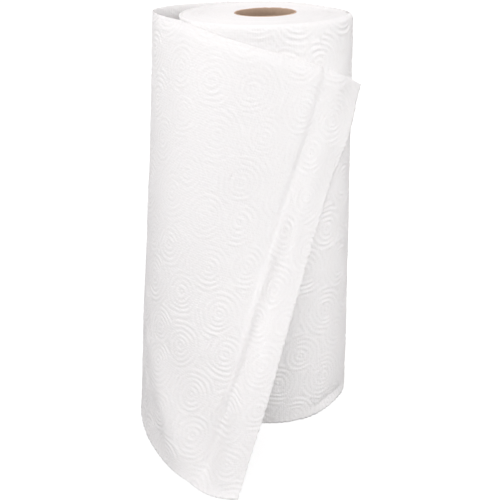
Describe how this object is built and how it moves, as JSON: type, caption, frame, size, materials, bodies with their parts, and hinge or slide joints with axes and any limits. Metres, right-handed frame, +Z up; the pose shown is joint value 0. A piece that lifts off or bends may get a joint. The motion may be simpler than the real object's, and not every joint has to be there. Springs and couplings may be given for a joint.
{
  "type": "paper towel roll",
  "caption": "Household paper towel roll: embossed white paper wound on a cardboard core, with its last sheet hanging loose round one side.",
  "frame": {"origin": "centre of the core's bore at the foot end of the roll", "axes": "+Z up along the roll's axis; the front, where the loose sheet ends, faces -Y"},
  "size_m": [0.1595, 0.1936, 0.28],
  "materials": {
    "core_board": "matte",
    "paper": "matte"
  },
  "bodies": {
    "root": {"core_tube": "core_board", "paper_web": "paper"}
  },
  "joints": []
}
